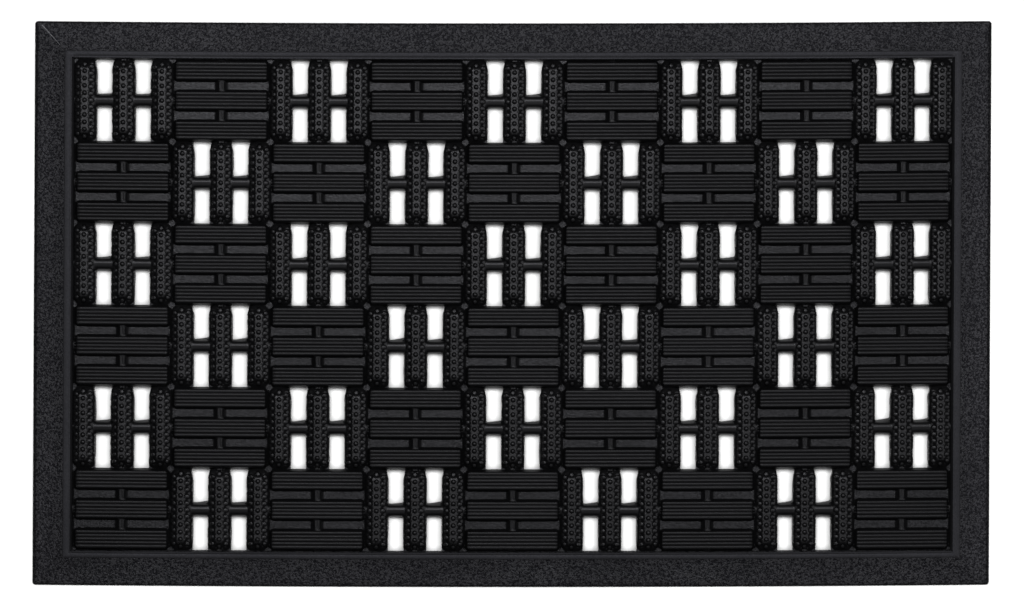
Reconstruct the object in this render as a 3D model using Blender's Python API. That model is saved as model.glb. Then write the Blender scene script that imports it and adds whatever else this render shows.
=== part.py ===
"""Moulded rubber door mat with an openwork basket-weave tread and a ramped border.

The tread is a chequerboard of two blocks. A nubbed block has three crowned bars that run front
to back, joined by a tie rod, with four drain openings between them. A ribbed block has three
crowned bars that run side to side on a closed floor web, joined by a tie ridge. Four border
rails with mitred ends ramp up from the ground to a lip around the tread.

Frame: origin on the ground under the mat's centre, +X along the long side, +Y towards the back
edge, +Z up. Lengths are in metres.
"""

import bmesh
import bpy
from mathutils import Vector

# Overall size and layout.
MAT_LENGTH = 0.750
MAT_WIDTH = 0.442
COLUMNS = 9
ROWS = 6
CELL_X = 0.0763
CELL_Y = 0.0640
PART_GAP = 0.0003

# Heights above the ground.
FOOT_TOP = 0.0060
WEB_TOP = 0.0060
NUBBED_CREST = 0.0110
RIBBED_CREST = 0.0105
TIE_ROD_TOP = 0.0082
TIE_RIDGE_TOP = 0.0088

# Bars of a nubbed block: three run along Y, the outer two reach the cell's sides.
NUBBED_BAR_X = 0.0298
NUBBED_FOOT_HALF = 0.0085
NUBBED_SHOULDER_HALF = 0.0073
NUBBED_SHOULDER_Z = 0.0084
NUBBED_CREST_HALF = 0.0034
NUBBED_END_TAPER = 0.0045
TIE_ROD_HALF = 0.0046
TIE_ROD_SIDE_Z = 0.0038
TIE_ROD_CREST_HALF = 0.0016

# Bars of a ribbed block: three run along X on the floor web.
RIBBED_BAR_Y = 0.02315
RIBBED_FOOT_HALF = 0.0086
RIBBED_CREST_HALF = 0.0067
RIBBED_END_TAPER = 0.0038
TIE_RIDGE_HALF = 0.0049
TIE_RIDGE_CREST_HALF = 0.0021

# Bar ends slope down to this share of the crest's height and width.
END_HEIGHT_SHARE = 0.50
END_WIDTH_SHARE = 0.62

# Border rail: a hollowed ramp from a thin outer edge to a flat lip, then a steep inner wall.
RAIL_EDGE_Z = 0.0020
RAIL_MIDDLE_RISE = 0.38
RAIL_RAMP_TOP_Z = 0.0086
RAIL_LIP_Z = 0.0093
RAIL_LIP_OUTER = 0.0078
RAIL_LIP_STEP = 0.0006
RAIL_LIP_INNER = 0.0036
RAIL_WALL_FOOT = 0.0014
RAIL_FOOT_Z = 0.0060

RUBBER_COLOUR = (0.022, 0.022, 0.025, 1.0)
WORN_RUBBER_COLOUR = (0.030, 0.030, 0.034, 1.0)
RUBBER_ROUGHNESS = 0.62


def clear_scene():
    for item in list(bpy.data.objects):
        bpy.data.objects.remove(item)


def make_rubber(name, colour):
    material = bpy.data.materials.new(name)
    material.use_nodes = True
    shader = material.node_tree.nodes["Principled BSDF"]
    shader.inputs["Base Color"].default_value = colour
    shader.inputs["Roughness"].default_value = RUBBER_ROUGHNESS
    shader.inputs["Metallic"].default_value = 0.0
    return material


def make_object(name, mesh, location=(0.0, 0.0, 0.0)):
    item = bpy.data.objects.new(name, mesh)
    item.location = location
    bpy.context.scene.collection.objects.link(item)
    return item


def loft(name, rings):
    """A closed mesh through rings of points, each ring a closed outline, capped at both ends."""
    shape = bmesh.new()
    loops = [[shape.verts.new(point) for point in ring] for ring in rings]
    count = len(rings[0])
    for near, far in zip(loops, loops[1:]):
        for i in range(count):
            j = (i + 1) % count
            shape.faces.new((near[i], near[j], far[j], far[i]))
    shape.faces.new(list(reversed(loops[0])))
    shape.faces.new(loops[-1])
    bmesh.ops.recalc_face_normals(shape, faces=shape.faces)
    mesh = bpy.data.meshes.new(name)
    shape.to_mesh(mesh)
    shape.free()
    return mesh


def mirrored(half_outline):
    """A full outline from its right half, given bottom to top as (offset, height)."""
    left = [(-offset, height) for offset, height in reversed(half_outline)]
    return list(half_outline) + left


def along_y(outline, x, y):
    return [Vector((x + offset, y, height)) for offset, height in outline]


def along_x(outline, x, y):
    return [Vector((x, y + offset, height)) for offset, height in outline]


def union(base, others):
    """Joins closed helper objects into the base and returns the result as one mesh."""
    for other in others:
        other.hide_render = True
        other.display_type = "WIRE"
        cut = base.modifiers.new(other.name, "BOOLEAN")
        cut.operation = "UNION"
        cut.solver = "EXACT"
        cut.object = other
    evaluated = base.evaluated_get(bpy.context.evaluated_depsgraph_get())
    mesh = bpy.data.meshes.new_from_object(evaluated)
    for helper in [base, *others]:
        bpy.data.objects.remove(helper)
    return mesh


def nubbed_outline(inner_half, outer_half, share_height=1.0, share_width=1.0):
    """Bar section: a square foot under a crowned body. The foot may be wider on one side."""
    shoulder_z = FOOT_TOP + (NUBBED_SHOULDER_Z - FOOT_TOP) * share_height
    crest_z = FOOT_TOP + (NUBBED_CREST - FOOT_TOP) * share_height
    shoulder = NUBBED_SHOULDER_HALF * share_width
    crest = NUBBED_CREST_HALF * share_width
    return [
        (inner_half, 0.0),
        (inner_half, FOOT_TOP),
        (shoulder, shoulder_z),
        (crest, crest_z),
        (-crest, crest_z),
        (-shoulder, shoulder_z),
        (-outer_half, FOOT_TOP),
        (-outer_half, 0.0),
    ]


def nubbed_bar(name, x, left_half, right_half):
    end = CELL_Y / 2 - PART_GAP / 2
    full = nubbed_outline(right_half, left_half)
    low = nubbed_outline(right_half, left_half, END_HEIGHT_SHARE, END_WIDTH_SHARE)
    stations = [
        (low, -end),
        (full, -end + NUBBED_END_TAPER),
        (full, end - NUBBED_END_TAPER),
        (low, end),
    ]
    return make_object(name, loft(name, [along_y(outline, x, y) for outline, y in stations]))


def nubbed_block_mesh():
    """Three bars along Y and the tie rod that crosses them at mid length."""
    outer_half = CELL_X / 2 - PART_GAP / 2 - NUBBED_BAR_X
    middle = nubbed_bar("nubbed_bar_middle", 0.0, NUBBED_FOOT_HALF, NUBBED_FOOT_HALF)
    left = nubbed_bar("nubbed_bar_left", -NUBBED_BAR_X, outer_half, NUBBED_FOOT_HALF)
    right = nubbed_bar("nubbed_bar_right", NUBBED_BAR_X, NUBBED_FOOT_HALF, outer_half)
    outline = mirrored(
        [
            (TIE_ROD_HALF, 0.0),
            (TIE_ROD_HALF, TIE_ROD_SIDE_Z),
            (TIE_ROD_CREST_HALF, TIE_ROD_TOP),
        ]
    )
    rings = [along_x(outline, x, 0.0) for x in (-NUBBED_BAR_X, NUBBED_BAR_X)]
    rod = make_object("tie_rod", loft("tie_rod", rings))
    return union(middle, [left, right, rod])


def ribbed_bar(name, y):
    end = CELL_X / 2 - PART_GAP / 2
    buried_z = WEB_TOP / 2
    end_z = WEB_TOP + (RIBBED_CREST - WEB_TOP) * END_HEIGHT_SHARE
    full = mirrored(
        [
            (RIBBED_FOOT_HALF, buried_z),
            (RIBBED_FOOT_HALF, WEB_TOP),
            (RIBBED_CREST_HALF, RIBBED_CREST),
        ]
    )
    low = mirrored(
        [
            (RIBBED_CREST_HALF, buried_z),
            (RIBBED_CREST_HALF, WEB_TOP),
            (RIBBED_CREST_HALF * END_WIDTH_SHARE, end_z),
        ]
    )
    stations = [
        (low, -end + PART_GAP),
        (full, -end + RIBBED_END_TAPER),
        (full, end - RIBBED_END_TAPER),
        (low, end - PART_GAP),
    ]
    return make_object(name, loft(name, [along_x(outline, x, y) for outline, x in stations]))


def ribbed_block_mesh():
    """A floor web, three bars along X on it, and the tie ridge that crosses between them."""
    half_x = CELL_X / 2 - PART_GAP / 2
    half_y = CELL_Y / 2 - PART_GAP / 2
    web_outline = [(half_y, 0.0), (half_y, WEB_TOP), (-half_y, WEB_TOP), (-half_y, 0.0)]
    web_rings = [along_x(web_outline, x, 0.0) for x in (-half_x, half_x)]
    web = make_object("floor_web", loft("floor_web", web_rings))
    bars = [
        ribbed_bar("ribbed_bar_front", -RIBBED_BAR_Y),
        ribbed_bar("ribbed_bar_middle", 0.0),
        ribbed_bar("ribbed_bar_back", RIBBED_BAR_Y),
    ]
    outline = mirrored(
        [
            (TIE_RIDGE_HALF, WEB_TOP / 2),
            (TIE_RIDGE_CREST_HALF, TIE_RIDGE_TOP),
        ]
    )
    ridge_rings = [along_y(outline, 0.0, y) for y in (-RIBBED_BAR_Y, RIBBED_BAR_Y)]
    ridge = make_object("tie_ridge", loft("tie_ridge", ridge_rings))
    return union(web, [*bars, ridge])


def rail_section(width):
    """(distance in from the outer edge, height) around a border rail of the given width."""
    ramp_end = width - RAIL_LIP_OUTER
    middle_z = RAIL_EDGE_Z + (RAIL_RAMP_TOP_Z - RAIL_EDGE_Z) * RAIL_MIDDLE_RISE
    return [
        (0.0, 0.0),
        (0.0, RAIL_EDGE_Z),
        (ramp_end / 2, middle_z),
        (ramp_end, RAIL_RAMP_TOP_Z),
        (ramp_end + RAIL_LIP_STEP, RAIL_LIP_Z),
        (width - RAIL_LIP_INNER, RAIL_LIP_Z),
        (width - RAIL_WALL_FOOT, RAIL_FOOT_Z),
        (width - PART_GAP / 2, RAIL_FOOT_Z),
        (width - PART_GAP / 2, 0.0),
    ]


def rail_mesh(name, half_length, half_depth, width, side_width):
    """A rail along X at the front edge. Its ends are mitred from outer to inner corner."""
    rings = []
    for side in (-1, 1):
        ring = []
        for inset, height in rail_section(width):
            reach = half_length - PART_GAP / 2 - inset * side_width / width
            ring.append(Vector((side * reach, inset - half_depth, height)))
        rings.append(ring)
    return loft(name, rings)


def turned(mesh, name, quarter_turns):
    """A copy of the mesh turned about Z by quarter turns."""
    copy = mesh.copy()
    copy.name = name
    cos_sin = [(1, 0), (0, 1), (-1, 0), (0, -1)][quarter_turns % 4]
    for vertex in copy.vertices:
        x, y, z = vertex.co
        vertex.co = (x * cos_sin[0] - y * cos_sin[1], x * cos_sin[1] + y * cos_sin[0], z)
    return copy


def build_rails(material):
    half_x = MAT_LENGTH / 2
    half_y = MAT_WIDTH / 2
    side_width = (MAT_LENGTH - COLUMNS * CELL_X) / 2
    end_width = (MAT_WIDTH - ROWS * CELL_Y) / 2
    long_rail = rail_mesh("long_rail", half_x, half_y, end_width, side_width)
    short_rail = rail_mesh("short_rail", half_y, half_x, side_width, end_width)
    layout = [
        ("border_rail_front", long_rail, 0),
        ("border_rail_right", short_rail, 1),
        ("border_rail_back", long_rail, 2),
        ("border_rail_left", short_rail, 3),
    ]
    for name, mesh, quarter_turns in layout:
        rail = make_object(name, turned(mesh, name, quarter_turns))
        rail.data.materials.append(material)


def build_tread(nubbed_material, ribbed_material):
    """Blocks alternate like a chequerboard, row 1 at the back and column 1 at the left."""
    nubbed = nubbed_block_mesh()
    nubbed.name = "nubbed_block"
    nubbed.materials.clear()
    nubbed.materials.append(nubbed_material)
    ribbed = ribbed_block_mesh()
    ribbed.name = "ribbed_block"
    ribbed.materials.clear()
    ribbed.materials.append(ribbed_material)
    for row in range(ROWS):
        for column in range(COLUMNS):
            x = (column + 0.5 - COLUMNS / 2) * CELL_X
            y = (ROWS / 2 - row - 0.5) * CELL_Y
            place = f"r{row + 1}_c{column + 1}"
            if (row + column) % 2 == 0:
                make_object("nubbed_block_" + place, nubbed, (x, y, 0.0))
            else:
                make_object("ribbed_block_" + place, ribbed, (x, y, 0.0))


def main():
    clear_scene()
    rail_material = make_rubber("border_rubber", WORN_RUBBER_COLOUR)
    nubbed_material = make_rubber("nubbed_rubber", RUBBER_COLOUR)
    ribbed_material = make_rubber("ribbed_rubber", RUBBER_COLOUR)
    build_rails(rail_material)
    build_tread(nubbed_material, ribbed_material)


main()
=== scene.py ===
import math
from typing import NamedTuple

import bmesh
import bpy
import numpy as np
from mathutils import Matrix, Vector
from mathutils.geometry import delaunay_2d_cdt


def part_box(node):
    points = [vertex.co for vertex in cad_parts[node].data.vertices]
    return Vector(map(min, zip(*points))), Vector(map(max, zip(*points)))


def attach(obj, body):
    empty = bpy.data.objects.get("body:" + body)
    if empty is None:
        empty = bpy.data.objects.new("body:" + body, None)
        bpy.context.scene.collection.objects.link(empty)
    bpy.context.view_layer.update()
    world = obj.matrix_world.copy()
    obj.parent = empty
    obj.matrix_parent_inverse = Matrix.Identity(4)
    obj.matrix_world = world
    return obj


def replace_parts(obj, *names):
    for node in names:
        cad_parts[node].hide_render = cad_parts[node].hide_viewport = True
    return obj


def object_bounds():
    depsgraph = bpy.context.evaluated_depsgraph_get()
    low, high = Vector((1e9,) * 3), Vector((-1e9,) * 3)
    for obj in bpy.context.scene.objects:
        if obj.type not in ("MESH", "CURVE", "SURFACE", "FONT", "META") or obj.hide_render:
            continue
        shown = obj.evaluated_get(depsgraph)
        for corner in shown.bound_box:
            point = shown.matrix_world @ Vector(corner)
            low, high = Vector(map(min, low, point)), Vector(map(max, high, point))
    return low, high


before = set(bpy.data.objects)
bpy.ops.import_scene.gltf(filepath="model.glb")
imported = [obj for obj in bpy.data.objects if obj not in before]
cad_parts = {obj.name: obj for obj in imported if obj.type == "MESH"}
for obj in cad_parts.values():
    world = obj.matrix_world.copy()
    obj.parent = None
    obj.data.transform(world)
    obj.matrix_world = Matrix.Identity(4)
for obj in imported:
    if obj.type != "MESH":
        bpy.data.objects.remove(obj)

CAD_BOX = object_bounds()

# Everything on the mat is drawn in millimetres and scaled to metres when its mesh is made.
MM = 0.001

# Heights above the ground: the floor of a block, and the tops of its bars.
FLOOR_Z = 6.0
NUBBED_TOP = 11.0
RIBBED_TOP = 10.5

# Tests against an edge that points lie on allow for this much rounding.
EDGE_SLACK = 1e-3

# Nubbed block: three bars along Y, each a crowned boss with a rounded plan, BAR_X apart.
BAR_X = 30.05
BAR_HALF = (9.2, 32.0)
BAR_CORNER = 4.6
# (distance in from the boss's edge, share of its height above the floor)
BAR_PROFILE = [(0, 0), (0.4, 0.12), (1.1, 0.30), (1.8, 0.46), (2.1, 0.50), (3.0, 0.61),
               (4.0, 0.74), (4.8, 0.86), (5.3, 0.94), (5.7, 0.985), (6.1, 1.0)]
# Past CREST_DIP_START from the rod the crest dips, by CREST_DIP times the square of the rest.
CREST_DIP_START = 22.6
CREST_DIP = 0.03
# Nubs stand in three rows on a bar, where it is at least NUBS_FROM_DEPTH in from its edge.
NUBS_FROM_DEPTH = 1.6
NUB_COUNT = 11
NUB_RADIUS = 2.05
NUB_HEIGHT = 1.1
CREST_NUB_PITCH = 5.71
FLANK_NUB_PITCH = 5.24
NUB_ROW_Y = -0.3
# Nubs on the flanks are buttons that stand in a shallow ring-shaped moat. A button's top is at
# BUTTON_TOP where it lies BUTTON_DEPTH in from the boss's edge, and rises inwards by BUTTON_TILT.
# It is domed like a ball of radius BUTTON_BALL, and falls away faster outside BUTTON_RADIUS.
FLANK_NUB_X = 5.5
BUTTON_TOP = 10.0
BUTTON_TILT = 0.22
BUTTON_DEPTH = 3.7
BUTTON_BALL = 5.0
BUTTON_RADIUS = 1.3
BUTTON_SIDE_SLOPE = 1.8
BUTTON_FOOT = 2.2
MOAT_RADIUS = 2.95
MOAT_DEPTH = 0.55
MOAT_RIM = 0.6
# Moats fade in over this range of depths: (start, run)
MOAT_FADE = (2.0, 1.2)
# Tie rod along X: (distance towards +Y from its middle, height above the ground)
ROD_PROFILE = [(-6.9, 1.0), (-5.3, 3.6), (-4.8, 5.3), (-4.2, 6.5), (-3.4, 7.4), (-2.5, 7.8),
               (-1.4, 8.05), (-0.3, 8.18), (0.3, 8.3), (1.1, 8.24), (1.7, 8.05), (2.7, 7.72),
               (3.5, 7.1), (4.2, 5.8), (4.8, 4.4), (6.4, 1.0)]
# Flash beside the openings is low, and higher at the block's back end. Beyond these distances
# from the block's middle, at its sides and its front, it is level with the floor.
FLASH_Z = 1.5
BACK_FLASH_Z = 3.0
FLASH_END_X = BAR_X + 3.5
FLASH_END_Y = 28.5

# Openings beside the tie rod: (near side, far side) of the gap between two bars.
OPENING_X = (9.2, 20.85)
OPENING_ROD_Y = 5.1
# (widening at the mouth, slant along the rod, spread of the slant)
BACK_OPENING = (1.4, 1.2, 0.4)
FRONT_OPENING = (0.35, 0.0, 0.25)
# Share of the widening at the block's end, and then (share, distance from the rod's middle)
MOUTH_END_SHARE = 0.7
MOUTH_SHARES = [(1.0, 30.6), (0.6, 27.5)]
# The opening's sides wander at these places, and last at FLASH_LAST_Y from the rod's edge.
FLASH_STOPS = [24.5, 19.5, 14.5]
FLASH_LAST_Y = 3.5
FLASH_WANDER = 0.2
FLASH_LAST_WANDER = 0.18
ROD_EDGE_WANDER = 0.15
# Cut-off corner of an opening beside the rod.
TURN_X = 0.35
TURN_Y = 1.6

# At each cell's corner a lozenge of floor lies open between the blocks.
LOZENGE_HALF = 3.3

# Ribbed block: three bars along X on the floor web.
RIB_BAR_Y = 23.3
RIB_BAR_HALF = (37.25, 8.7)
RIB_BAR_CORNER = 3.2
RIB_BAR_PROFILE = [(0, 0), (0.3, 0.13), (0.9, 0.45), (1.3, 0.68), (1.6, 0.85), (1.9, 0.96),
                   (2.3, 1.0)]
# A middle rib and SIDE_RIBS to each side: (distance from a rib's middle, drop below the top)
SIDE_RIBS = 2
RIB_PITCH = 2.72
RIB_PROFILE = [(0, 0), (0.35, 0.02), (0.65, 0.08), (1.0, 0.25), (1.2, 0.36), (1.36, 0.39)]
THIN_RIB_DROP = 0.15
# Ribs fade in over this range of depths: (start, run)
RIB_FADE = (0.7, 0.8)
# How far a bar's edge is taken in where the ridge and the rod meet it.
BAR_OVERLAP = 0.1
# Tie ridge along Y between the bars: (distance from its middle, height above the ground)
TIE_PROFILE = [(0, 8.78), (0.4, 8.84), (0.9, 8.98), (1.6, 9.0), (1.95, 8.8), (2.5, 8.2),
               (3.4, 7.3), (4.4, 6.5), (5.1, 6.0)]
TIE_HALF = TIE_PROFILE[-1][0]
# Where one block meets the next the ridge is lower. On a nubbed block it starts at TIE_FROM_Y.
TIE_END_DROP = 0.6
TIE_FROM_Y = 30.6

# How closely points are set, and how far rows of points reach.
CORNER_STEPS = 6
LEAST_RADIUS = 0.05
BLOCK_CLEAR = 0.22
BAR_STEP = 1.35
CREST_STEP = 1.4
CREST_REACH = 25.6
ROD_COLUMNS = 8
OUTLINE_STEP = 1.5
SIDE_STEP = 2.0
NUB_CLEAR = 0.3
MOAT_CLEAR = 0.25
# Rings of points around a nub: (radius, number of points)
CREST_NUB_RINGS = [(0.0, 1), (0.6, 6), (1.2, 10), (1.65, 12), (NUB_RADIUS, 16)]
BUTTON_RINGS = [(0.0, 1), (0.7, 6), (BUTTON_RADIUS, 10), (1.75, 12), (BUTTON_FOOT, 14),
                (MOAT_RADIUS, 18)]
RING_OVERLAP = 0.15
TIE_ENDS = (31.2, 31.7)
CORNER_WALL_STOPS = 5
CORNER_WALL_POINTS = 6
CORNER_WALL_SHARES = (0.02, 0.98)
RIB_BAR_STEP = 2.2
RIB_REACH = (34.9, 6.3)
RIB_END_STOPS = (35.3, 35.6, 35.95, 36.3)
CHANNEL_HALF = (36.8, 2.6)
CHANNEL_STEP = 2.4
CHANNEL_LINES = 4
SIDE_WALL_X = (37.45, 37.8)
SIDE_WALL_REACH = 28.0
RAIL_STEP = 4.0
RAIL_RAMP_STEPS = 7
RAIL_CORNER_STEPS = 4
RAIL_CLEAR = 0.15
MITRE_GAP = 0.1


class RailSection(NamedTuple):
    """A rail's section: its rounded outer edge, the ramp, the lip and the wall to the tread."""
    edge: list  # (distance in from the outer edge, height)
    lip: list  # (distance back from the tread, height)
    sag: float  # how hollow the ramp is, from 0 for a straight one
    painted_shade_width: float  # how far in from the outer edge the painted shade, a darker rubber, reaches


LONG_SECTION = RailSection(
    edge=[(0, 0.7), (0.5, 1.4), (1.0, 1.95), (1.5, 2.3)],
    lip=[(6.9, 8.5), (6.4, 8.8), (5.9, 9.1), (5.4, 9.2), (3.4, 9.24), (3.0, 9.15), (2.7, 9.02),
         (2.4, 9.15), (2.1, 9.28), (1.2, 9.28), (0.9, 8.95), (0.45, 7.4), (0.0, 5.4)],
    sag=0.25,
    painted_shade_width=1.1)
SHORT_SECTION = RailSection(
    edge=[(0, 0.6), (0.7, 1.15), (1.5, 1.75), (2.3, 2.3), (3.0, 2.65), (3.6, 2.85)],
    lip=[(8.1, 8.5), (7.7, 8.8), (7.3, 9.1), (6.9, 9.2), (3.8, 9.25), (3.3, 9.2), (2.7, 9.35),
         (2.1, 9.3), (1.8, 8.9), (1.1, 7.0), (0.5, 5.4), (0.0, 4.2)],
    sag=0.5,
    painted_shade_width=2.6)
OUTER_CORNER = 2.4
# Within this distance of the outer edge a rail's height follows the rounded corner.
CORNER_REACH = 1.0
# The lip's rubber starts this far in from the lip's foot.
LIP_START = 0.4

# A pale raised line near the mitre of the back left corner. Its ends are given as distances
# in from the left and back edges.
CREASE_START = (5.6, 3.0)
CREASE_END = (20.5, 18.8)
CREASE_STEPS = 12
CREASE_HALF = (0.34, 0.12)
CREASE_HEIGHT = 0.1
CREASE_SUNK = 0.5

# The layout, read from the CAD nodes: half sizes of the mat, of one cell and of the tread.
MAT_HALF = (CAD_BOX[1].x / MM, CAD_BOX[1].y / MM)
FIRST_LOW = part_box("nubbed_block_r1_c1")[0]
FRONT_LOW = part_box("ribbed_block_r2_c1")[0]
SIDE_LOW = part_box("ribbed_block_r1_c2")[0]
CELL_HALF = ((SIDE_LOW.x - FIRST_LOW.x) / 2 / MM, (FIRST_LOW.y - FRONT_LOW.y) / 2 / MM)
COLUMNS = 9
ROWS = 6
FIELD_HALF = (COLUMNS * CELL_HALF[0], ROWS * CELL_HALF[1])

# The mat lies a little askew: its long edges bow towards the front, its middle is pulled
# to the right and the tread sits slightly towards the front of its frame.
LAY_SHEAR = 0.005
LAY_BOW = 1.8
LAY_STRETCH = 1.15
TREAD_DROP = 0.75

# Edges sharper than this are shaded as sharp, in degrees.
SHARP_ANGLE = 38.0
# A face belongs to the top where its normal points up by at least this.
TOP_FACING = 0.3
# A top face is on the floor of a block where its height is within this of the floor's.
FLOOR_SLACK = 0.06
SEED = 7

# Rubber. The grain goes from dark to light over a range of its noise that is contrast wide to
# each side of the middle. Its size and height are in millimetres.
MILD_SHEEN = (0.98, 0.98, 1.04, 1.0)
COOL_SHEEN = (0.94, 0.95, 1.1, 1.0)
RUBBERS = {
    "nubbed_rubber": dict(
        dark=(0.0012, 0.0012, 0.0014), light=(0.0028, 0.0028, 0.003), contrast=0.2,
        grain_size=0.9, grain_height=0.03, roughness=0.36, specular=0.113, tint=MILD_SHEEN),
    "ribbed_rubber": dict(
        dark=(0.0012, 0.0012, 0.0014), light=(0.0028, 0.0028, 0.003), contrast=0.2,
        grain_size=1.1, grain_height=0.03, roughness=0.42, specular=0.076, tint=MILD_SHEEN),
    "floor_rubber": dict(
        dark=(0.003, 0.003, 0.0034), light=(0.014, 0.014, 0.0154), contrast=0.09,
        grain_size=1.4, grain_height=0.16, roughness=0.27, specular=0.054, tint=MILD_SHEEN),
    "grained_rubber": dict(
        dark=(0.0002, 0.0002, 0.0004), light=(0.0165, 0.0165, 0.0178), contrast=0.05,
        grain_size=1.7, grain_height=1.3, roughness=0.56, specular=0.137, tint=COOL_SHEEN),
    "lip_rubber": dict(
        dark=(0.006, 0.006, 0.0066), light=(0.0095, 0.0095, 0.0104), contrast=0.2,
        grain_size=1.2, grain_height=0.04, roughness=0.5, specular=0.09, tint=COOL_SHEEN),
    # Painted shade: a darker rubber on the rails' outer edge strip, standing in for the shade on
    # that outward-facing edge.
    "painted_shade_rubber": dict(
        dark=(0.0002, 0.0002, 0.0004), light=(0.006, 0.006, 0.0066), contrast=0.05,
        grain_size=1.7, grain_height=1.0, roughness=0.6, specular=0.05, tint=COOL_SHEEN),
    # The raised line beside the mitre is drawn in a pale rubber.
    "pale_crease_rubber": dict(
        dark=(0.02, 0.02, 0.022), light=(0.08, 0.08, 0.086), contrast=0.2,
        grain_size=1.5, grain_height=0.05, roughness=0.45, specular=0.3, tint=MILD_SHEEN),
}
GRAIN_NOISE = {"Detail": 1.2, "Roughness": 0.6, "Distortion": 0.8}
DUST_NOISE = {"Scale": 9.0, "Detail": 5.0, "Roughness": 0.6}
# The grain's pits are rougher than its tops, by this to each side of the roughness.
ROUGHNESS_SPREAD = 0.05
# Convex edges are worn lighter: (where wear starts, where it is full), and how much lighter.
WORN_POINTINESS = (0.52, 0.62)
EDGE_WEAR = 0.3
# Patches of dust: range of the noise, and the brightness that it stands for.
DUST_RANGE = (0.3, 0.7)
DUST_BRIGHTNESS = (0.75, 1.25)

# Studio, in metres: a pale floor just below the ground, soft light from above and a little
# from the back. The floor's colour is darkened where something is close above it, a painted
# contact shadow.
STAGE_HALF = 3.3
STAGE_Z = -0.0002
FLOOR_COLOUR = (0.87, 0.87, 0.87)
FLOOR_ROUGHNESS = 0.9
FLOOR_SPECULAR = 0.1
PAINTED_SHADOW_COLOUR = (0.42, 0.42, 0.42)
CONTACT_DISTANCE = 0.005
CONTACT_OPENNESS = 0.4
CONTACT_SAMPLES = 12
# (name, size, place, power in watts)
SOFTBOXES = [
    ("key_softbox", (1.7, 1.4), (-0.15, 0.9, 3.3), 100.0),
    ("fill_softbox", (3.6, 3.6), (0.1, 0.1, 3.6), 52.0),
    ("side_softbox", (1.4, 1.8), (2.4, 0.3, 2.8), 48.0),
    ("accent_softbox", (1.2, 0.35), (-0.2, 1.2, 3.2), 19.0),
]
# The room's light on the mat, and its brightness where it is seen past the floor.
WORLD_STRENGTH = 0.03
BACKDROP_STRENGTH = 0.78
CAMERA_HEIGHT = 3.0
CAMERA_CENTRE = (0.0, -0.0013)
CAMERA_REACH = 100.0
VIEW_WIDTH = 0.8033
SENSOR_WIDTH = 36.0


def smooth_step(t):
    t = np.clip(t, 0.0, 1.0)
    return t * t * (3.0 - 2.0 * t)


def fade_in(distance, start, run):
    """Rises smoothly from 0 at the start to 1 after the run."""
    return smooth_step((distance - start) / run)


def along(profile, distance):
    """The profile's second value at a distance, in straight lines between its points."""
    xs, ys = zip(*profile)
    return np.interp(distance, xs, ys)


def inset(x, y, half, corner):
    """Distance in from the edge of a rounded rectangle at the origin; negative outside it."""
    qx = np.abs(x) - (half[0] - corner)
    qy = np.abs(y) - (half[1] - corner)
    outside = np.hypot(np.maximum(qx, 0.0), np.maximum(qy, 0.0))
    return corner - outside - np.minimum(np.maximum(qx, qy), 0.0)


def ring(half, corner, depth, step):
    """Points around a rounded rectangle, set in by depth, that line up from ring to ring."""
    reach = (half[0] - corner, half[1] - corner)
    radius = max(corner - depth, LEAST_RADIUS)
    points = []
    signs = ((1, 1), (-1, 1), (-1, -1), (1, -1))
    for quarter, (sx, sy) in enumerate(signs):
        start = math.pi / 2 * quarter
        for i in range(CORNER_STEPS + 1):
            angle = start + math.pi / 2 * i / CORNER_STEPS
            points.append((sx * reach[0] + radius * math.cos(angle),
                           sy * reach[1] + radius * math.sin(angle)))
    for axis in (0, 1):
        count = max(2, round(2 * reach[axis] / step))
        places = np.linspace(-reach[axis], reach[axis], count + 1)[1:-1]
        side = half[1 - axis] - depth
        for place in places:
            for sign in (-1, 1):
                points.append((place, sign * side) if axis == 0 else (sign * side, place))
    return np.array(points)


def grid(xs, ys):
    gx, gy = np.meshgrid(xs, ys)
    return np.column_stack([gx.ravel(), gy.ravel()])


def inside(points, loop):
    """Which points lie inside a closed loop."""
    x, y = points[:, 0], points[:, 1]
    found = np.zeros(len(points), bool)
    for (x0, y0), (x1, y1) in zip(loop, np.roll(loop, -1, axis=0)):
        if y0 == y1:
            continue
        crosses = (y0 > y) != (y1 > y)
        found ^= crosses & (x < (x1 - x0) * (y - y0) / (y1 - y0) + x0)
    return found


def edge_distance(points, loop):
    """Distance from each point to the nearest side of a closed loop."""
    best = np.full(len(points), np.inf)
    for a, b in zip(loop, np.roll(loop, -1, axis=0)):
        run = b - a
        share = np.clip(((points - a) @ run) / (run @ run), 0.0, 1.0)
        best = np.minimum(best, np.linalg.norm(points - a - share[:, None] * run, axis=1))
    return best


def triangulate(points, loop):
    """Triangles of the points inside a closed loop, whose own points come first."""
    count = len(loop)
    everything = np.vstack([loop, points])
    edges = [(i, (i + 1) % count) for i in range(count)]
    vertices, _, faces, origins, _, _ = delaunay_2d_cdt(
        [Vector(p) for p in everything], edges, [], 0, 1e-5)
    vertices = np.array([tuple(v) for v in vertices])
    faces = np.array([tuple(f) for f in faces])
    middles = vertices[faces].mean(axis=1)
    faces = faces[inside(middles, loop)]
    border = {}
    for new, olds in enumerate(origins):
        for old in olds:
            if old < count:
                border[old] = new
    return vertices, faces, [border[i] for i in range(count)]


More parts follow.
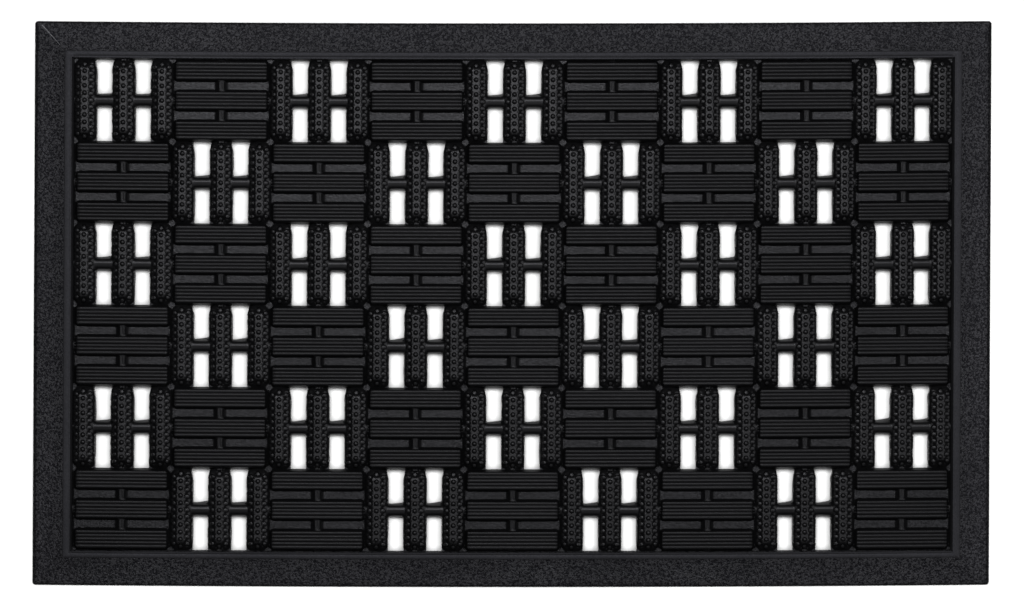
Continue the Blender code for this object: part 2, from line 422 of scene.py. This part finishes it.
def raised_solid(name, loop, points, height, clear):
    """A closed solid whose top follows height(x, y) over the loop, flat underneath.

    Points outside the loop, and those nearer to it than clear, are left out.
    """
    points = points[inside(points, loop)]
    points = points[edge_distance(points, loop) > clear]
    top, faces, border = triangulate(points, loop)
    base, base_faces, base_border = triangulate(np.zeros((0, 2)), loop)
    top_z = height(top[:, 0], top[:, 1])
    vertices = np.vstack([np.column_stack([top, top_z]),
                          np.column_stack([base, np.zeros(len(base))])])
    shift = len(top)
    polygons = [tuple(f) for f in faces]
    polygons += [tuple(f + shift)[::-1] for f in base_faces]
    for i, start in enumerate(border):
        j = (i + 1) % len(border)
        polygons.append((start, base_border[i] + shift, base_border[j] + shift, border[j]))
    mesh = bpy.data.meshes.new(name)
    mesh.from_pydata(vertices.tolist(), [], polygons)
    shape = bmesh.new()
    shape.from_mesh(mesh)
    bmesh.ops.recalc_face_normals(shape, faces=shape.faces)
    shape.to_mesh(mesh)
    shape.free()
    return mesh


def smoothed(path, passes=2):
    """Cuts the corners of an open path and keeps its two ends."""
    for _ in range(passes):
        near, far = path[:-1], path[1:]
        cut = np.stack([near * 0.75 + far * 0.25, near * 0.25 + far * 0.75], axis=1)
        path = np.vstack([path[:1], cut.reshape(-1, 2), path[-1:]])
    return path


def stops(start, end, step, extra=()):
    """Even places from start to end, with the extra ones that fall between them."""
    count = max(1, math.ceil(abs(end - start) / step))
    places = set(np.round(np.linspace(start, end, count + 1), 4))
    places |= {round(e, 4) for e in extra if min(start, end) < e < max(start, end)}
    return sorted(places, reverse=end < start)


def rod_height(y):
    return along(ROD_PROFILE, y)


def both_signs(places):
    return sorted({s * p for p in places for s in (-1, 1)})


TIE_X = both_signs(d for d, _ in TIE_PROFILE)
ROD_Y = [d for d, _ in ROD_PROFILE[1:-1]]


def nub_row(x, pitch):
    middle = (NUB_COUNT - 1) / 2
    return np.array([(x, NUB_ROW_Y + pitch * (i - middle)) for i in range(NUB_COUNT)])


# The two end nubs of the middle row stand on the bar's slopes, so they are made as flank nubs.
MIDDLE_ROW = nub_row(0.0, CREST_NUB_PITCH)
CREST_NUBS = MIDDLE_ROW[1:-1]
FLANK_NUBS = np.vstack([nub_row(-FLANK_NUB_X, FLANK_NUB_PITCH), MIDDLE_ROW[[0, -1]],
                        nub_row(FLANK_NUB_X, FLANK_NUB_PITCH)])


def nearest(x, y, centres):
    """Distance from each point to the nearest of the centres."""
    return np.hypot(x[:, None] - centres[:, 0], y[:, None] - centres[:, 1]).min(axis=1)


def nub_rings(centres, rings):
    """Points in rings around each centre, kept only where no other centre is nearer."""
    found = []
    for radius, count in rings:
        for i in range(count):
            angle = 2 * math.pi * i / count
            spots = centres + np.array([math.cos(angle), math.sin(angle)]) * radius
            own = nearest(spots[:, 0], spots[:, 1], centres) > radius - RING_OVERLAP
            found.append(spots[own])
    return np.vstack(found)


def crest_nub(distance):
    """Height of a domed nub above the bar at a distance from its middle; exactly 0 at its rim."""
    ball = (NUB_RADIUS ** 2 + NUB_HEIGHT ** 2) / (2 * NUB_HEIGHT)
    cap = np.sqrt(np.maximum(ball ** 2 - distance ** 2, 0.0)) - (ball - NUB_HEIGHT)
    return np.where(distance < NUB_RADIUS - EDGE_SLACK, np.maximum(cap, 0.0), 0.0)


def with_flank_nubs(body, distance, depth):
    """The bar's surface with the moat and the tilted button of the nearest flank nub."""
    fade = fade_in(depth, *MOAT_FADE)
    moat = body - MOAT_DEPTH * fade * smooth_step((MOAT_RADIUS - distance) / MOAT_RIM)
    button = BUTTON_TOP + BUTTON_TILT * (depth - BUTTON_DEPTH)
    button = button - distance ** 2 / (2 * BUTTON_BALL)
    button = button - BUTTON_SIDE_SLOPE * np.maximum(distance - BUTTON_RADIUS, 0.0)
    return np.where(distance < BUTTON_FOOT + EDGE_SLACK, np.maximum(moat, button), moat)


def corner_inset(x, y):
    """Distance in from the lozenges of floor at the cell's corners."""
    from_corner = (CELL_HALF[0] - np.abs(x)) + (CELL_HALF[1] - np.abs(y))
    return (from_corner - LOZENGE_HALF) / math.sqrt(2.0)


def nubbed_floor(x, y):
    """Low flash beside the openings, and the floor level at the cell's corners and front end."""
    level = (np.abs(x) > FLASH_END_X) | (y < -FLASH_END_Y)
    return np.where(level, FLOOR_Z, np.where(y > FLASH_END_Y, BACK_FLASH_Z, FLASH_Z))


def nubbed_height(x, y):
    z = np.maximum(nubbed_floor(x, y), rod_height(y))
    at_tie = (np.abs(y) > TIE_FROM_Y) & (np.abs(x) < TIE_HALF)
    z = np.where(at_tie, np.maximum(z, along(TIE_PROFILE, np.abs(x)) - TIE_END_DROP), z)
    dip = CREST_DIP * np.maximum(np.abs(y) - CREST_DIP_START, 0.0) ** 2
    for bar in (-BAR_X, 0.0, BAR_X):
        depth = np.minimum(inset(x - bar, y, BAR_HALF, BAR_CORNER), corner_inset(x, y))
        share = along(BAR_PROFILE, depth)
        body = FLOOR_Z + (NUBBED_TOP - FLOOR_Z - dip) * share
        on_top = depth > NUBS_FROM_DEPTH
        body[on_top] += crest_nub(nearest(x[on_top] - bar, y[on_top], CREST_NUBS))
        flank = nearest(x[on_top] - bar, y[on_top], FLANK_NUBS)
        body[on_top] = with_flank_nubs(body[on_top], flank, depth[on_top])
        z = np.where(depth > -EDGE_SLACK, np.maximum(z, body), z)
    return z


def notch(low, high, end, chance):
    """One opening's side from mouth to mouth, in along +X, with the wander of trimmed flash."""
    flare, slant, slant_spread = BACK_OPENING if end > 0 else FRONT_OPENING
    slant += chance.normal(0, slant_spread)
    rod_low = OPENING_ROD_Y + chance.normal(0, ROD_EDGE_WANDER)
    rod_high = rod_low + slant
    shares = [(MOUTH_END_SHARE, CELL_HALF[1]), *MOUTH_SHARES]
    mouth = [(flare * share, y) for share, y in shares]
    path = [(low - widening, y) for widening, y in mouth]
    path += [(low + chance.normal(0, FLASH_WANDER), y) for y in FLASH_STOPS]
    path += [(low + chance.normal(0, FLASH_LAST_WANDER), rod_low + FLASH_LAST_Y),
             (low, rod_low + TURN_Y), (low + TURN_X, rod_low),
             ((low + high) / 2, (rod_low + rod_high) / 2),
             (high - TURN_X, rod_high), (high, rod_high + TURN_Y),
             (high + chance.normal(0, FLASH_LAST_WANDER), rod_high + FLASH_LAST_Y)]
    path += [(high + chance.normal(0, FLASH_WANDER), y) for y in reversed(FLASH_STOPS)]
    path += [(high + widening, y) for widening, y in reversed(mouth)]
    path = smoothed(np.array(path))
    path[:, 1] *= end
    return path


def edge_path(xs, y):
    return np.array([(x, y) for x in xs])


def nubbed_outline(chance):
    """The cell's outline with two openings let in from the back and two from the front."""
    half_x, half_y = CELL_HALF
    near, far = OPENING_X
    parts = []
    for end in (-1, 1):
        left = notch(-far, -near, end, chance)
        right = notch(near, far, end, chance)
        before = stops(-half_x, left[0, 0], OUTLINE_STEP)
        between = stops(left[-1, 0], right[0, 0], OUTLINE_STEP, TIE_X)
        after = stops(right[-1, 0], half_x, OUTLINE_STEP)
        edge = end * half_y
        path = np.vstack([edge_path(before[:-1], edge), left, edge_path(between[1:-1], edge),
                          right, edge_path(after[1:], edge)])
        parts.append(path if end < 0 else path[::-1])
    side = stops(-half_y, half_y, SIDE_STEP, ROD_Y)[1:-1]
    right_side = np.array([(half_x, y) for y in side])
    left_side = np.array([(-half_x, y) for y in side[::-1]])
    return np.vstack([parts[0], right_side, parts[1], left_side])


def nubbed_points():
    bar = [ring(BAR_HALF, BAR_CORNER, depth, BAR_STEP) for depth, _ in BAR_PROFILE[:-1]]
    crest = stops(-CREST_REACH, CREST_REACH, CREST_STEP)
    bar.append(grid([-CREST_STEP, 0.0, CREST_STEP], crest))
    bar = np.vstack(bar)
    clear = nearest(bar[:, 0], bar[:, 1], CREST_NUBS) > NUB_RADIUS + NUB_CLEAR
    clear &= nearest(bar[:, 0], bar[:, 1], FLANK_NUBS) > MOAT_RADIUS + MOAT_CLEAR
    nubs = nub_rings(CREST_NUBS, CREST_NUB_RINGS)
    buttons = nub_rings(FLANK_NUBS, BUTTON_RINGS)
    bar = np.vstack([bar[clear], nubs, buttons])
    points = [bar + (x, 0.0) for x in (-BAR_X, 0.0, BAR_X)]
    for side in (-1, 1):
        xs = side * np.linspace(OPENING_X[0], OPENING_X[1], ROD_COLUMNS)
        points.append(grid(xs, ROD_Y))
    points.append(grid(TIE_X, both_signs(TIE_ENDS)))
    points.append(corner_points())
    return np.vstack(points)


def corner_points():
    """Points along the slanted walls beside the lozenges of floor at the cell's corners."""
    quarter = []
    for depth, _ in BAR_PROFILE[:CORNER_WALL_STOPS]:
        reach = LOZENGE_HALF + depth * math.sqrt(2.0)
        for share in np.linspace(*CORNER_WALL_SHARES, CORNER_WALL_POINTS):
            quarter.append((CELL_HALF[0] - reach * share, CELL_HALF[1] - reach * (1 - share)))
    quarter = np.array(quarter)
    return np.vstack([quarter * (sx, sy) for sx in (-1, 1) for sy in (-1, 1)])


def rib_drop(y):
    """How far a bar's top drops in the grooves between its five ribs, across Y."""
    rib = np.clip(np.round(y / RIB_PITCH), -SIDE_RIBS, SIDE_RIBS)
    drop = along(RIB_PROFILE, np.abs(y - rib * RIB_PITCH))
    thin = np.abs(rib) == 1
    return np.where(np.abs(y) > SIDE_RIBS * RIB_PITCH, 0.0, drop + THIN_RIB_DROP * thin)


def neighbour_foot(x):
    """The foot of the next block's bar, which rises towards the cell's sides."""
    overhang = BAR_X + BAR_HALF[0] - CELL_HALF[0]
    start = CELL_HALF[0] - overhang
    return FLOOR_Z + (NUBBED_TOP - FLOOR_Z) * along(BAR_PROFILE, np.abs(x) - start)


def ribbed_height(x, y):
    z = np.full(len(x), FLOOR_Z)
    tie = along(TIE_PROFILE, np.abs(x))
    z = np.where(np.abs(x) < TIE_HALF, np.maximum(z, tie), z)
    past_side = np.abs(y) > RIB_BAR_Y + RIB_BAR_HALF[1] - BAR_OVERLAP
    z = np.where(past_side, np.maximum(FLOOR_Z, tie - TIE_END_DROP), z)
    past_end = np.abs(x) > RIB_BAR_HALF[0] - BAR_OVERLAP
    z = np.where(past_end, np.maximum(z, rod_height(y)), z)
    for bar in (-RIB_BAR_Y, 0.0, RIB_BAR_Y):
        depth = np.minimum(inset(x, y - bar, RIB_BAR_HALF, RIB_BAR_CORNER), corner_inset(x, y))
        body = FLOOR_Z + (RIBBED_TOP - FLOOR_Z) * along(RIB_BAR_PROFILE, depth)
        body = body - rib_drop(y - bar) * fade_in(depth, *RIB_FADE)
        z = np.where(depth > -EDGE_SLACK, np.maximum(z, body), z)
    away_from_corner = corner_inset(x, y) > 0.0
    return np.where(away_from_corner, np.maximum(z, neighbour_foot(x)), z)


def ribbed_outline():
    half_x, half_y = CELL_HALF
    xs = stops(-half_x, half_x, SIDE_STEP, TIE_X)
    ys = stops(-half_y, half_y, SIDE_STEP, ROD_Y)
    return np.vstack([edge_path(xs[:-1], -half_y), [(half_x, y) for y in ys[:-1]],
                      edge_path(xs[:0:-1], half_y), [(-half_x, y) for y in ys[:0:-1]]])


def ribbed_points():
    bar = [ring(RIB_BAR_HALF, RIB_BAR_CORNER, depth, RIB_BAR_STEP)
           for depth, _ in RIB_BAR_PROFILE]
    reach_x, reach_y = RIB_REACH
    xs = both_signs([*RIB_END_STOPS, *stops(0.0, reach_x, RIB_BAR_STEP)])
    offsets = both_signs([d for d, _ in RIB_PROFILE])
    ribs = range(-SIDE_RIBS, SIDE_RIBS + 1)
    ys = sorted({round(rib * RIB_PITCH + o, 3) for rib in ribs for o in offsets})
    bar.append(grid(xs, [y for y in ys if abs(y) < reach_y]))
    bar = np.vstack(bar)
    points = [bar + (0.0, y) for y in (-RIB_BAR_Y, 0.0, RIB_BAR_Y)]
    half_x, half_y = CHANNEL_HALF
    wall_y = stops(-SIDE_WALL_REACH, SIDE_WALL_REACH, SIDE_STEP)
    for side in (-1, 1):
        channel = side * RIB_BAR_Y / 2
        ys = channel + np.linspace(-half_y, half_y, CHANNEL_LINES)
        points.append(grid(stops(-half_x, half_x, CHANNEL_STEP), ys))
        points.append(grid(TIE_X, ys))
        points.append(grid([SIDE_WALL_X[0] * side], ROD_Y))
        points.append(grid([x * side for x in SIDE_WALL_X], wall_y))
    points.append(corner_points())
    return np.vstack(points)


def rail_height(back, width, section):
    """Height of a rail at a distance back from its outer edge."""
    edge_end, edge_top = section.edge[-1]
    lip_back, ramp_top = section.lip[0]
    t = np.clip((back - edge_end) / (width - lip_back - edge_end), 0.0, 1.0)
    ramp = edge_top + (ramp_top - edge_top) * ((1.0 - section.sag) * t + section.sag * t ** 3)
    lip = along(section.lip[::-1], width - back)
    z = np.where(back > width - lip_back, lip, ramp)
    return np.where(back < edge_end, along(section.edge, back), z)


def rail_stations(width, section):
    """Distances from the outer edge at which a rail's section bends."""
    edge = [d for d, _ in section.edge]
    lip = [width - d for d, _ in section.lip]
    return edge + list(np.linspace(edge[-1], lip[0], RAIL_RAMP_STEPS + 1)[1:-1]) + lip


def make_rail_mesh(name, half_length, half_depth, width, side_width, section):
    """A rail along X at the front. Its mitred ends run in from the rounded outer corners."""
    stations = rail_stations(width, section)
    ratio = side_width / width
    arc = []
    for angle in np.linspace(0.0, math.atan2(1.0, ratio), RAIL_CORNER_STEPS + 1):
        arc.append((half_length - OUTER_CORNER * (1.0 - math.sin(angle)),
                    OUTER_CORNER * (1.0 - math.cos(angle))))
    mitre = [(half_length - d * ratio, d) for d in stations if d > arc[-1][1] + MITRE_GAP]
    right = arc + mitre
    left = [(-x, y) for x, y in reversed(right)]
    inner = [(x, width) for x in stops(right[-1][0], left[0][0], RAIL_STEP)[1:-1]]
    outer = [(x, 0.0) for x in stops(left[-1][0], right[0][0], RAIL_STEP)[1:-1]]
    loop = np.array(right + inner + left + outer)
    points = grid(stops(-half_length, half_length, RAIL_STEP), stations[1:-1])

    def height(x, y):
        from_edge = inset(x, y - half_depth, (half_length, half_depth), OUTER_CORNER)
        from_edge = np.maximum(from_edge, 0.0)
        back = np.where(from_edge < CORNER_REACH, np.minimum(y, from_edge), y)
        return rail_height(back, width, section)

    return raised_solid(name, loop, points, height, RAIL_CLEAR)


def paint(mesh, materials, *tests):
    """Gives the mesh its materials: each test picks top faces for the next material."""
    for material in materials:
        mesh.materials.append(material)
    corners = [[mesh.vertices[i].co.z for i in face.vertices] for face in mesh.polygons]
    low = np.array([min(z) for z in corners])
    high = np.array([max(z) for z in corners])
    middle = np.array([face.center for face in mesh.polygons])
    facing = np.array([face.normal.z for face in mesh.polygons])
    slots = np.zeros(len(middle), np.int32)
    for slot, test in enumerate(tests, 1):
        slots[test(low, high, middle) & (facing > TOP_FACING)] = slot
    mesh.polygons.foreach_set("material_index", slots)


def place(mesh, centre=(0.0, 0.0), quarter_turns=0):
    """Turns a mesh, puts it at its place on the mat, lays it down and scales it to metres."""
    co = np.empty(len(mesh.vertices) * 3)
    mesh.vertices.foreach_get("co", co)
    co = co.reshape(-1, 3)
    cos, sin = ((1, 0), (0, 1), (-1, 0), (0, -1))[quarter_turns % 4]
    x = co[:, 0] * cos - co[:, 1] * sin + centre[0]
    y = co[:, 0] * sin + co[:, 1] * cos + centre[1]
    laid_x = x + LAY_SHEAR * y + LAY_STRETCH * (1.0 - (x / MAT_HALF[0]) ** 2)
    tread = np.interp(np.abs(y), (FIELD_HALF[1], MAT_HALF[1]), (1.0, 0.0))
    laid_y = y - LAY_BOW * (1.0 - (x / MAT_HALF[0]) ** 2) - TREAD_DROP * tread
    co = np.column_stack([laid_x, laid_y, co[:, 2]]) * MM
    mesh.vertices.foreach_set("co", co.ravel())
    mesh.update()


def add_piece(mesh, name):
    mesh.shade_smooth()
    mesh.set_sharp_from_angle(angle=math.radians(SHARP_ANGLE))
    piece = bpy.data.objects.new(name, mesh)
    bpy.context.scene.collection.objects.link(piece)
    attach(piece, "root")
    return piece


def replace_node(mesh, node):
    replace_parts(add_piece(mesh, node + "_moulded"), node)


def at_floor(low, high, _):
    return (np.abs(low - FLOOR_Z) < FLOOR_SLACK) & (np.abs(high - FLOOR_Z) < FLOOR_SLACK)


def cell_centre(node):
    low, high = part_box(node)
    return ((low.x + high.x) / 2 / MM, (low.y + high.y) / 2 / MM)


def make_blocks(rubber):
    chance = np.random.default_rng(SEED)
    nubbed_inside = nubbed_points()
    ribbed = raised_solid("ribbed_block", ribbed_outline(), ribbed_points(), ribbed_height,
                          BLOCK_CLEAR)
    paint(ribbed, [rubber["ribbed_rubber"], rubber["floor_rubber"]], at_floor)
    for node in sorted(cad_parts):
        if node.startswith("nubbed_block"):
            mesh = raised_solid(node, nubbed_outline(chance), nubbed_inside, nubbed_height,
                                BLOCK_CLEAR)
            paint(mesh, [rubber["nubbed_rubber"], rubber["floor_rubber"]], at_floor)
            place(mesh, cell_centre(node))
            replace_node(mesh, node)
        elif node.startswith("ribbed_block"):
            mesh = ribbed.copy()
            place(mesh, cell_centre(node))
            replace_node(mesh, node)


def make_rails(rubber):
    half_x, half_y = MAT_HALF
    end_width = half_y - FIELD_HALF[1]
    side_width = half_x - FIELD_HALF[0]
    long_rail = (half_x, half_y, end_width, side_width, LONG_SECTION)
    short_rail = (half_y, half_x, side_width, end_width, SHORT_SECTION)
    layout = [("border_rail_front", long_rail), ("border_rail_right", short_rail),
              ("border_rail_back", long_rail), ("border_rail_left", short_rail)]
    materials = [rubber[name] for name in ("grained_rubber", "lip_rubber", "painted_shade_rubber")]
    for quarter_turns, (node, sizes) in enumerate(layout):
        _, half_depth, width, _, section = sizes
        mesh = make_rail_mesh(node, *sizes)
        lip_foot = width - section.lip[0][0]
        # The last material paints shade: darker rubber on the strip along the outer edge.
        paint(mesh, materials,
              lambda low, high, middle: middle[:, 1] > lip_foot + LIP_START,
              lambda low, high, middle: middle[:, 1] < section.painted_shade_width)
        mesh.transform(Matrix.Translation((0.0, -half_depth, 0.0)))
        place(mesh, quarter_turns=quarter_turns)
        replace_node(mesh, node)


def make_mitre_crease(pale_crease_rubber):
    """The thin pale line of rubber beside the mitre where the left rail meets the back rail."""
    start, end = np.array(CREASE_START), np.array(CREASE_END)
    share = np.linspace(0.0, 1.0, CREASE_STEPS)[:, None]
    inward = start + (end - start) * share
    width = MAT_HALF[1] - FIELD_HALF[1]
    top = rail_height(inward[:, 1], width, LONG_SECTION)
    middle = np.column_stack([inward[:, 0] - MAT_HALF[0], MAT_HALF[1] - inward[:, 1]])
    run, drop = (end - start) / np.hypot(*(end - start))
    half = CREASE_HALF[0] + (CREASE_HALF[1] - CREASE_HALF[0]) * share
    across = half * np.array([drop, run])
    lines = [np.column_stack([middle + side * across, top + rise])
             for side, rise in ((-1, CREASE_HEIGHT), (1, CREASE_HEIGHT),
                                (1, -CREASE_SUNK), (-1, -CREASE_SUNK))]
    vertices = np.stack(lines, axis=1).reshape(-1, 3)
    sides = len(lines)
    last = sides * (CREASE_STEPS - 1)
    faces = [tuple(range(sides)), tuple(range(last + sides - 1, last - 1, -1))]
    for first in range(0, last, sides):
        for i in range(sides):
            j = (i + 1) % sides
            faces.append((first + i, first + sides + i, first + sides + j, first + j))
    mesh = bpy.data.meshes.new("mitre_crease")
    mesh.from_pydata(vertices.tolist(), [], faces)
    mesh.materials.append(pale_crease_rubber)
    place(mesh)
    add_piece(mesh, "mitre_crease")


def add_node(tree, kind, **settings):
    """A shader node, with each setting given to its input of that name or to the node."""
    node = tree.nodes.new(kind)
    for name, value in settings.items():
        if name in node.inputs:
            node.inputs[name].default_value = value
        else:
            setattr(node, name, value)
    return node


def add_map_range(tree, value, before, after):
    """Maps a value from one range, given by its two ends, onto another."""
    node = add_node(tree, "ShaderNodeMapRange")
    ends = zip(("From Min", "From Max", "To Min", "To Max"), (*before, *after))
    for name, end in ends:
        node.inputs[name].default_value = end
    tree.links.new(value, node.inputs["Value"])
    return node.outputs["Result"]


def set_ramp(ramp, dark, light, dark_at, light_at):
    low, high = ramp.color_ramp.elements
    low.position = dark_at
    low.color = (*dark, 1.0)
    high.position = light_at
    high.color = (*light, 1.0)


def make_rubber(name, dark, light, contrast, grain_size, grain_height, roughness, specular, tint):
    """Moulded rubber: fine grain in colour and relief, patches of dust and worn edges."""
    material = bpy.data.materials.new(name)
    material.use_nodes = True
    tree = material.node_tree
    link = tree.links.new
    shader = tree.nodes["Principled BSDF"]
    shader.inputs["Specular IOR Level"].default_value = specular
    shader.inputs["Specular Tint"].default_value = tint
    coordinates = add_node(tree, "ShaderNodeTexCoord")
    grain = add_node(tree, "ShaderNodeTexNoise", Scale=1.0 / (grain_size * MM), **GRAIN_NOISE)
    dust = add_node(tree, "ShaderNodeTexNoise", **DUST_NOISE)
    for texture in (grain, dust):
        link(coordinates.outputs["Object"], texture.inputs["Vector"])
    grain_range = (0.5 - contrast, 0.5 + contrast)
    ramp = add_node(tree, "ShaderNodeValToRGB")
    set_ramp(ramp, dark, light, *grain_range)
    link(grain.outputs["Fac"], ramp.inputs["Fac"])
    geometry = add_node(tree, "ShaderNodeNewGeometry")
    worn = add_map_range(tree, geometry.outputs["Pointiness"], WORN_POINTINESS, (0.0, EDGE_WEAR))
    dusty = add_map_range(tree, dust.outputs["Fac"], DUST_RANGE, DUST_BRIGHTNESS)
    level = add_node(tree, "ShaderNodeMath", operation="ADD")
    link(worn, level.inputs[0])
    link(dusty, level.inputs[1])
    tone = add_node(tree, "ShaderNodeHueSaturation")
    link(level.outputs[0], tone.inputs["Value"])
    link(ramp.outputs["Color"], tone.inputs["Color"])
    link(tone.outputs["Color"], shader.inputs["Base Color"])
    rough_to_smooth = (roughness + ROUGHNESS_SPREAD, roughness - ROUGHNESS_SPREAD)
    gloss = add_map_range(tree, grain.outputs["Fac"], grain_range, rough_to_smooth)
    link(gloss, shader.inputs["Roughness"])
    bump = add_node(tree, "ShaderNodeBump", Strength=1.0, Distance=grain_height * MM)
    link(grain.outputs["Fac"], bump.inputs["Height"])
    link(bump.outputs["Normal"], shader.inputs["Normal"])
    return material


def make_stage():
    """A plain floor whose colour is darkened a little where something stands close above it: a
    painted contact shadow.
    """
    material = bpy.data.materials.new("studio_floor")
    material.use_nodes = True
    tree = material.node_tree
    shader = tree.nodes["Principled BSDF"]
    shader.inputs["Roughness"].default_value = FLOOR_ROUGHNESS
    shader.inputs["Specular IOR Level"].default_value = FLOOR_SPECULAR
    # Painted contact shadow: ambient occlusion darkens the floor's colour near the mat.
    openness = add_node(tree, "ShaderNodeAmbientOcclusion", samples=CONTACT_SAMPLES,
                        Distance=CONTACT_DISTANCE)
    shade = add_node(tree, "ShaderNodeValToRGB")
    set_ramp(shade, PAINTED_SHADOW_COLOUR, FLOOR_COLOUR, CONTACT_OPENNESS, 1.0)
    tree.links.new(openness.outputs["AO"], shade.inputs["Fac"])
    tree.links.new(shade.outputs["Color"], shader.inputs["Base Color"])
    corners = [(sx * STAGE_HALF, sy * STAGE_HALF, STAGE_Z)
               for sx, sy in ((-1, -1), (1, -1), (1, 1), (-1, 1))]
    mesh = bpy.data.meshes.new("studio_floor")
    mesh.from_pydata(corners, [], [(0, 1, 2, 3)])
    mesh.materials.append(material)
    floor = bpy.data.objects.new("studio_floor", mesh)
    bpy.context.scene.collection.objects.link(floor)


def add_softbox(name, size, location, power):
    """A rectangular lamp that faces the middle of the mat and isn't seen itself."""
    light = bpy.data.lights.new(name, "AREA")
    light.shape = "RECTANGLE"
    light.size, light.size_y = size
    light.energy = power
    lamp = bpy.data.objects.new(name, light)
    lamp.location = location
    lamp.rotation_euler = (-Vector(location)).to_track_quat("-Z", "Y").to_euler()
    lamp.visible_camera = False
    bpy.context.scene.collection.objects.link(lamp)


def light_scene():
    """Softboxes over a dim room. The room looks pale where it is seen past the floor."""
    for name, size, location, power in SOFTBOXES:
        add_softbox(name, size, location, power)
    world = bpy.data.worlds.new("studio")
    world.use_nodes = True
    tree = world.node_tree
    seen = add_node(tree, "ShaderNodeLightPath").outputs["Is Camera Ray"]
    strength = add_map_range(tree, seen, (0.0, 1.0), (WORLD_STRENGTH, BACKDROP_STRENGTH))
    background = tree.nodes["Background"]
    background.inputs["Color"].default_value = (1.0, 1.0, 1.0, 1.0)
    tree.links.new(strength, background.inputs["Strength"])
    bpy.context.scene.world = world
    bpy.context.scene.view_settings.view_transform = "Standard"


def add_camera():
    """Straight above the mat, with +Y up in the view."""
    camera = bpy.data.cameras.new("camera")
    camera.sensor_width = SENSOR_WIDTH
    camera.lens = SENSOR_WIDTH * CAMERA_HEIGHT / VIEW_WIDTH
    camera.clip_end = CAMERA_REACH
    holder = bpy.data.objects.new("camera", camera)
    holder.location = (CAMERA_CENTRE[0], CAMERA_CENTRE[1], CAMERA_HEIGHT)
    bpy.context.scene.collection.objects.link(holder)
    bpy.context.scene.camera = holder


def main():
    rubber = {name: make_rubber(name, **look) for name, look in RUBBERS.items()}
    make_blocks(rubber)
    make_rails(rubber)
    make_mitre_crease(rubber["pale_crease_rubber"])
    make_stage()
    light_scene()
    add_camera()


main()
